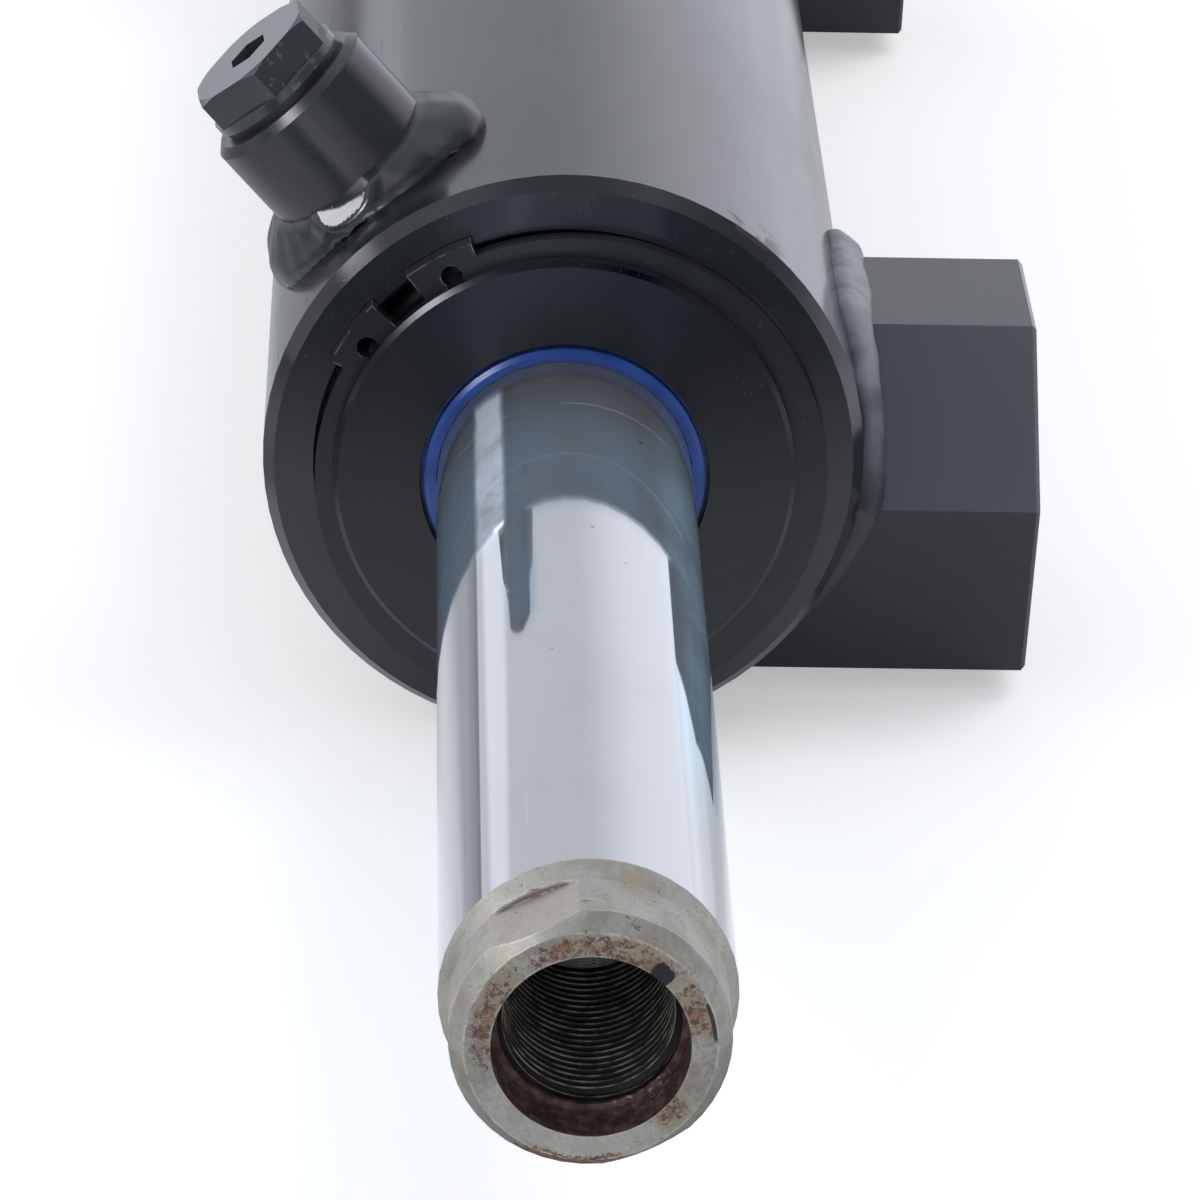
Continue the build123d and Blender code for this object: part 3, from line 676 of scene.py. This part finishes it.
def before_end(start, end):
    """A soft mask along the rod, between two distances from its end."""
    return ramp(from_middle, rod_end - start, rod_end - end)


def outwards(start, end):
    """A soft mask between two distances from the rod's axis."""
    return ramp(turned["Distance"], start, end)


def sector(degrees, wide):
    """A soft mask over one part of the way round the rod, seen from its front end."""
    side = plus(times(out_x, cos(radians(degrees))), times(out_z, sin(radians(degrees))))
    return ramp(over(side, turned["Distance"]), cos(radians(wide)), 1.0)


inside = outwards(0.01193, 0.01178)
bare = larger(before_end(0.0137, 0.0135), inside)

# Chrome: a blue-grey film that ends in a curved edge and two runs, partly oil and partly painted reflection,
# with a pale blue painted reflection low on the right and a painted highlight streak down the left.
# The oil is thickest beside the wiper, and the length that stays inside the barrel is almost dry.
chrome = tint(touch["Smears"], (0.50, 0.515, 0.54), (0.44, 0.460, 0.49))
chrome = tint(times(touch["Scratches"], 0.10), chrome, (0.72, 0.73, 0.74))
# A painted highlight streak down the left of the rod, broken up, past the rim. It also thins the oil beside the
# wiper.
streak_breakup = ramp(grain(tree, 300.0, 4.0, stretch=(1.0, 0.3, 1.0)), 0.2, 0.6, 0.5, 1.0)
painted_highlight_streak = smaller(times(sector(128.5, 9.5), streak_breakup, 1.8), 1.0)
painted_highlight_streak = times(painted_highlight_streak, past_barrel(0.009, 0.013))
# A blue-grey film with a curved edge, partly oil and partly a painted reflection of the dark gland face. It is
# paler on the upper right.
from_top = minus(1.0, over(out_z, turned["Distance"]))
film_and_reflection = ramp(minus(from_middle, times(from_top, 0.024)), barrel_end + 0.060, barrel_end + 0.052)
# Two runs painted as dark reflections, the left one of the port boss.
left_painted_reflection = times(sector(114.5, 8.5), past_barrel(0.100, 0.085))
right_painted_reflection = times(sector(20.0, 26.0), past_barrel(0.160, 0.090))
mottled = ramp(grain(tree, 120.0, 5.0, stretch=(1.0, 0.6, 1.0)), 0.30, 0.62, 0.55, 1.0)
sheltered = past_barrel(0.0085, -0.004)
film_and_reflection = times(larger(film_and_reflection, larger(left_painted_reflection, right_painted_reflection)), mottled, minus(1.0, times(sheltered, 0.85)))
film_reflection_tone = tint(sector(50.0, 42.0), (0.095, 0.220, 0.37), (0.16, 0.30, 0.46))
chrome = tint(times(film_and_reflection, 0.62), chrome, film_reflection_tone)
# A pale blue painted reflection low on the right of the rod.
low_right_reflection = times(sector(20.0, 34.0), past_barrel(0.150, 0.110))
chrome = tint(times(low_right_reflection, 0.9), chrome, (0.50, 0.70, 0.88))
wipes = grain(tree, 520.0, 4.0, stretch=(0.10, 1.0, 0.16), slant=(0.35, 0.5, 0.2), roughness=0.5)
wipes = times(ramp(wipes, 0.56, 0.70), ramp(grain(tree, 80.0, 2.0), 0.42, 0.6))
chrome = tint(times(wipes, film_and_reflection, 0.45), chrome, (0.34, 0.42, 0.50))
dots = ramp(grain(tree, 620.0, 1.0), 0.795, 0.815)
chrome = tint(dots, chrome, (0.06, 0.06, 0.06))
# Where the painted highlight streak crosses the film, it is pale blue-white and less metallic.
highlight_on_film = times(painted_highlight_streak, film_and_reflection)
chrome = tint(times(highlight_on_film, 0.9), chrome, (0.80, 0.88, 1.0))
oily = times(past_barrel(0.0460, 0.0090), minus(1.0, times(sheltered, 0.90)))
oily = times(oily, minus(1.0, times(painted_highlight_streak, 0.7)))
chrome = tint(times(oily, 0.85), chrome, (0.082, 0.080, 0.080))
wiper_ring = times(past_barrel(0.0210, 0.0213), past_barrel(0.0218, 0.0215))
wiper_ring = times(wiper_ring, ramp(grain(tree, 90.0, 3.0), 0.40, 0.55))
chrome = tint(times(wiper_ring, 0.6), chrome, (0.42, 0.46, 0.50))

# Bare steel: turned, peppered with fine dark specks, weathered in patches, and painted lighter low on the end
# face against the shade there
tooled = grain(tree, 600.0, 3.0, stretch=(0.4, 1.0, 0.4))
steel = tint(tooled, (0.37, 0.365, 0.338), (0.50, 0.492, 0.458))
outward = place(tree, "ShaderNodeNewGeometry").outputs["Normal"]
along_axis = unsigned(place(tree, "ShaderNodeSeparateXYZ", {"Vector": outward}).outputs["Y"])
end_on = ramp(along_axis, 0.80, 0.95)
fine_specks = times(ramp(grain(tree, 2600.0, 3.0, roughness=0.8), 0.44, 0.60), 0.45)
coarse_specks = ramp(grain(tree, 1500.0, 5.0, roughness=0.85), 0.47, 0.55)
peppered = plus(fine_specks, times(minus(coarse_specks, fine_specks), end_on))
steel = tint(times(peppered, 0.55), steel, (0.22, 0.215, 0.190))
weathered = ramp(grain(tree, 260.0, 6.0, roughness=0.7), 0.42, 0.62)
steel = tint(times(weathered, 0.40), steel, (0.25, 0.230, 0.190))
# The lower part of the end face is painted lighter, a painted light against the shade there.
steel = tint(times(end_on, sector(262.0, 80.0), 0.45), steel, (0.66, 0.650, 0.610))

# Rust: in patches round the hole, along the lower edge and at the foot of the flats, with tan stains round it
patches = larger(sector(80.0, 52.0), times(sector(165.0, 42.0), 0.66))
patches = larger(patches, times(sector(318.0, 16.0), 0.8), times(sector(22.0, 20.0), 0.7))
low_edge = times(sector(262.0, 34.0), outwards(0.0138, 0.0152))
spread = larger(times(patches, outwards(0.0156, 0.0132)), times(low_edge, 0.8))
rust_grain = plus(times(grain(tree, 2100.0, 4.0, roughness=0.8), 0.8), times(grain(tree, 480.0, 3.0), 0.5))
rusted = ramp(plus(rust_grain, times(smaller(spread, 0.7), 0.27)), 0.790, 0.835)
flat_foot = times(before_end(0.0111, 0.0107), before_end(0.0098, 0.0102), outwards(0.01655, 0.0164))
rusted = larger(rusted, times(flat_foot, 0.75))
tan = times(ramp(plus(grain(tree, 210.0, 4.0), times(spread, 0.3)), 0.50, 0.72), 0.60)
steel = tint(tan, steel, (0.37, 0.29, 0.19))
rust_depth = ramp(grain(tree, 1500.0, 4.0, roughness=0.7), 0.42, 0.60)
rust_tone = tint(rust_depth, (0.045, 0.024, 0.020), (0.25, 0.118, 0.078))
steel = tint(times(rusted, 0.92), steel, rust_tone)

# Wear of the end: flats painted warmer and lighter as a painted highlight, edges painted bright as rubbed steel
# and as a painted highlight, pits, a dark splash, and a dent drawn as a dark line of painted shade beside the
# hole
# The flats are painted warmer and lighter: a painted highlight.
flat_highlight = times(ramp(along_axis, 0.3, 0.1), outwards(0.0168, 0.0166))
steel = tint(times(flat_highlight, 0.45), steel, (0.44, 0.380, 0.315))
# Edges painted bright, as rubbed steel and as a painted highlight.
corners = use_effect(tree, worn_edges, Width=0.0005, Breaks=420.0, Wear=0.52)
steel = tint(times(corners["Mask"], 0.8), steel, (0.80, 0.78, 0.74))
pits = ramp(grain(tree, 1100.0, 4.0), 0.66, 0.72)
steel = tint(times(pits, 0.6), steel, (0.06, 0.055, 0.050))
splash = times(sector(50.0, 8.0), outwards(0.0142, 0.0132))
splash = ramp(plus(splash, times(grain(tree, 420.0, 4.0), 0.9)), 0.78, 0.84)
# A dent drawn only as a dark line: painted shade.
dent_shade = times(sector(14.0, 13.0), outwards(0.0143, 0.0145), outwards(0.0150, 0.0148))
dent_shade = times(ramp(times(dent_shade, grain(tree, 900.0, 4.0)), 0.12, 0.30), 0.85)
steel = tint(larger(splash, dent_shade), steel, (0.018, 0.019, 0.028))

# The bore: brown with rust and oil, with painted shade at the top and deep in, and painted wet glints low on
# the right
bore_tone = tint(ramp(grain(tree, 500.0, 5.0), 0.4, 0.65), (0.060, 0.034, 0.033), (0.15, 0.092, 0.082))
# Painted shade at the top of the bore and deep in.
bore_shade = larger(ramp(out_z, 0.001, 0.008), before_end(0.030, 0.040))
bore_tone = tint(bore_shade, bore_tone, (0.014, 0.011, 0.011))
# Painted wet glints low on the right.
painted_glints = ramp(times(sector(306.0, 26.0), before_end(0.0030, 0.0050)), 0.1, 0.5)
painted_glints = times(painted_glints, ramp(grain(tree, 1500.0, 4.0, roughness=0.7), 0.54, 0.62))
bore_tone = tint(times(painted_glints, 0.8), bore_tone, (0.50, 0.44, 0.42))
steel = tint(inside, steel, bore_tone)

covered = times(larger(rusted, splash, times(inside, 0.70)), 0.8)
metal = minus(0.82, times(covered, bare), times(larger(film_and_reflection, oily), 0.34), times(bare, 0.30))
metal = minus(metal, times(highlight_on_film, 0.26), times(oily, 0.22))
chrome_rough = plus(times(touch["Smears"], 0.025), 0.035, times(touch["Scratches"], 0.03))
steel_rough = plus(ramp(tooled, 0.3, 0.7, 0.46, 0.60), times(rusted, 0.25))
steel_rough = minus(steel_rough, times(inside, 0.26))
feed(surface, {
    "Base Color": tint(bare, chrome, steel),
    "Metallic": metal,
    "Roughness": plus(chrome_rough, times(minus(steel_rough, chrome_rough), bare)),
})
relief = minus(plus(times(turned["Height"], 0.5), times(rusted, 1.6)), times(pits, 1.5))
ground_lines = grain(tree, 1300.0, 1.0, stretch=(0.06, 1.0, 0.06))
bump(surface, plus(times(relief, bare), times(ground_lines, 0.012)), 0.00002)
dress(rod_finish, "piston_rod")

# Piston: a ring turned from steel bar, held on the middle of the rod by two clips sunk in its ends.
# It stays bright under oil, with the turning marks all over it.
piston_steel, tree, surface = start_finish("oiled turned steel")
oil = ramp(grain(tree, 60.0, 4.0), 0.4, 0.65)
feed(surface, {
    "Base Color": tint(oil, (0.42, 0.42, 0.43), (0.30, 0.29, 0.27)),
    "Roughness": ramp(oil, 0.0, 1.0, 0.30, 0.16),
    "Metallic": 1.0,
})
bump(surface, use_effect(tree, turning_marks, Pitch=0.0003)["Height"], 0.00001)
dress(piston_steel, "piston")

# Piston clips: two hardened rings of spring steel, phosphated nearly black and oiled.
# They are snapped into the rod's grooves and sunk in the piston's ends.
clip_finish, tree, surface = start_finish("phosphated spring steel")
crystals = grain(tree, 3800.0, 2.0)
feed(surface, {
    "Base Color": tint(crystals, (0.05, 0.05, 0.055), (0.13, 0.13, 0.135)),
    "Roughness": ramp(crystals, 0.3, 0.7, 0.35, 0.55),
    "Metallic": 0.9,
})
bump(surface, crystals, 0.00001)
dress(clip_finish, "piston_clips")

# Floor: a wide pale sheet that the cylinder lies on, which the camera and polished metal see as near white.
# Where paint and chrome mirror it, it is darker in some places, as the photograph's reflections show.
floor_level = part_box("barrel_tube")[0].z - 0.0001
floor_rings = [0.5, 1.0, 2.0, 4.0, 8.0, 16.0, 32.0]
spokes = 64
points = [(0.0, 0.0, floor_level)]
for distance in floor_rings:
    for k in range(spokes):
        turn = 2 * pi * k / spokes
        points.append((distance * cos(turn), distance * sin(turn), floor_level))
faces = [(0, 1 + k, 1 + (k + 1) % spokes) for k in range(spokes)]
for ring in range(len(floor_rings) - 1):
    base = 1 + spokes * ring
    for k in range(spokes):
        following = (k + 1) % spokes
        faces.append((base + k, base + spokes + k, base + spokes + following, base + following))
floor_mesh = bpy.data.meshes.new("floor")
floor_mesh.from_pydata(points, [], faces)
floor = bpy.data.objects.new("floor", floor_mesh)
bpy.context.scene.collection.objects.link(floor)
floor_paper, tree, surface = start_finish("pale floor")
feed(surface, {"Base Color": (0.90, 0.90, 0.90, 1.0), "Roughness": 0.9, "Specular IOR Level": 0.0})
rays = place(tree, "ShaderNodeLightPath").outputs
looking = larger(rays["Is Camera Ray"], rays["Is Glossy Ray"], rays["Is Transmission Ray"])
added_glow = plus(times(rays["Is Camera Ray"], 0.31), times(looking, 0.10))
glow = place(tree, "ShaderNodeEmission", {"Color": (1.0, 1.0, 1.0, 1.0), "Strength": added_glow})
added = place(tree, "ShaderNodeAddShader", {0: surface.outputs["BSDF"], 1: glow.outputs["Emission"]})
spot = position(tree)
left_behind = times(ramp(spot["X"], -0.09, -0.15), ramp(spot["Y"], -0.18, 0.02))
rightwards = ramp(spot["X"], 0.0, 0.35)
far_left = ramp(spot["X"], -0.25, -0.45)
in_front = times(ramp(spot["Y"], -0.17, -0.21), ramp(spot["X"], 0.10, 0.0), ramp(spot["X"], -0.20, -0.12))
far_front = times(ramp(spot["Y"], -0.26, -0.35), in_front)
beside_end = times(ramp(spot["Y"], -0.11, -0.16), ramp(spot["Y"], -0.36, -0.28))
at_sides = times(beside_end, larger(ramp(spot["X"], 0.03, 0.06), ramp(spot["X"], -0.155, -0.19)))
shade = plus(times(left_behind, -0.68), times(rightwards, 0.55))
shade = minus(shade, times(far_front, 0.97), times(at_sides, 0.75), times(far_left, 0.20))
close_by = times(ramp(spot["X"], -0.128, -0.085), ramp(spot["X"], 0.060, 0.030))
close_by = times(close_by, ramp(unsigned(spot["Y"]), 0.23, 0.18))
sheen_share = plus(times(larger(in_front, at_sides), 0.28), 0.65)
sheen_share = times(sheen_share, minus(1.0, times(close_by, 0.85)))
sheen = place(tree, "ShaderNodeEmission", {"Color": (0.94, 0.98, 1.06, 1.0), "Strength": plus(shade, 1.0)})
mixed = place(tree, "ShaderNodeMixShader", {
    0: times(rays["Is Glossy Ray"], sheen_share), 1: added.outputs["Shader"], 2: sheen.outputs["Emission"],
})
feed(tree.nodes["Material Output"], {"Surface": mixed.outputs["Shader"]})
floor_mesh.materials.append(floor_paper)

# Studio light: an even pale room, a little brighter behind on the right, and dimmer overhead, in front and
# at the sides, with a few small soft lamps for the bright marks on the paint and the rod.
world = bpy.data.worlds.new("studio")
bpy.context.scene.world = world
world.use_nodes = True
tree = world.node_tree
tree.nodes.clear()
towards = place(tree, "ShaderNodeTexCoord").outputs["Generated"]


def glow_towards(azimuth, elevation, wide, narrow):
    """A soft patch of the room's wall in one direction; azimuth turns from straight behind to the right."""
    a, e = radians(azimuth), radians(elevation)
    facing = (sin(a) * cos(e), cos(a) * cos(e), sin(e))
    return ramp(alignment(towards, facing), cos(radians(wide)), cos(radians(narrow)))


ambient = 0.55
wall = glow_towards(42.0, 9.0, 43.0, 18.0)
tube_light = times(glow_towards(-22.5, 7.0, 5.5, 2.8), 0.40)
rim_light = times(glow_towards(-115.0, 37.0, 13.0, 3.0), 9.0)
dim_front = times(glow_towards(180.0, 18.0, 40.0, 12.0), -0.35)
dim_overhead = times(glow_towards(180.0, 66.0, 38.0, 16.0), -0.80)
dim_sides = times(plus(glow_towards(112.0, 32.0, 42.0, 20.0), glow_towards(-110.0, 27.0, 34.0, 12.0)), -0.70)
room = plus(times(wall, 0.44), plus(tube_light, rim_light))
room = plus(room, plus(dim_front, dim_sides, dim_overhead), 0.88)
rays = place(tree, "ShaderNodeLightPath").outputs
reflected = larger(rays["Is Glossy Ray"], rays["Is Transmission Ray"])
level = plus(times(minus(room, ambient), reflected), ambient, times(rays["Is Camera Ray"], 0.45))
room_tone = tint(wall, (0.95, 0.985, 1.05), (0.955, 0.98, 1.06))
room_tone = tint(rays["Is Camera Ray"], room_tone, (1.0, 1.0, 1.0))
sky = place(tree, "ShaderNodeBackground", {"Strength": level, "Color": room_tone})
place(tree, "ShaderNodeOutputWorld", {"Surface": sky.outputs["Background"]})


def soft_lamp(name, stands_at, width, watts, colour, mirrored=True):
    """A square soft lamp that faces the cylinder's front end, seen in shiny surfaces or not."""
    data = bpy.data.lights.new(name, "AREA")
    data.size = width
    data.energy = watts
    data.color = colour
    lamp = bpy.data.objects.new(name, data)
    lamp.location = stands_at
    lamp.rotation_mode = "QUATERNION"
    lamp.rotation_quaternion = (Vector((-0.06, -0.2, 0.0)) - Vector(stands_at)).to_track_quat("-Z", "Y")
    lamp.visible_camera = False
    lamp.visible_glossy = mirrored
    bpy.context.scene.collection.objects.link(lamp)


soft_lamp("side lamp", (-1.42, -0.42, 1.05), 0.62, 1.0, (1.0, 0.99, 0.97))
soft_lamp("rim lamp", (-1.25, -0.62, 1.03), 0.24, 2.0, (1.0, 0.98, 0.93))
soft_lamp("bead lamp", (-1.36, 0.17, 0.79), 0.26, 2.2, (0.97, 0.98, 1.0))
soft_lamp("front lamp", (-0.15, -1.90, 0.16), 0.8, 6.0, (0.96, 0.98, 1.04))
soft_lamp("low left lamp", (-1.06, 0.86, 0.62), 0.25, 1.5, (0.92, 0.97, 1.0))
soft_lamp("overhead lamp", (0.9, 0.1, 1.7), 1.0, 8.0, (1.0, 1.0, 1.0), mirrored=False)

# Camera: a long lens in front of the rod's end and above it, as the photograph was taken.
# It looks down at the rod's end and is tilted a little to one side.
camera_data = bpy.data.cameras.new("camera")
camera_data.sensor_width = 36.0
camera_data.lens = 203.22
camera = bpy.data.objects.new("camera", camera_data)
bpy.context.scene.collection.objects.link(camera)
camera_at = Matrix.Translation((-0.0929, -1.0592, 0.3815))
turn, tilt, roll = radians(1.95), radians(23.78), radians(1.60)
view_line = Vector((sin(turn) * cos(tilt), cos(turn) * cos(tilt), -sin(tilt)))
level_right = Vector((cos(turn), -sin(turn), 0.0))
level_up = level_right.cross(view_line)
right = level_right * cos(roll) + level_up * sin(roll)
up = level_up * cos(roll) - level_right * sin(roll)
camera.matrix_world = camera_at @ Matrix((right, up, -view_line)).transposed().to_4x4()
bpy.context.scene.camera = camera
bpy.context.scene.view_settings.view_transform = "Standard"
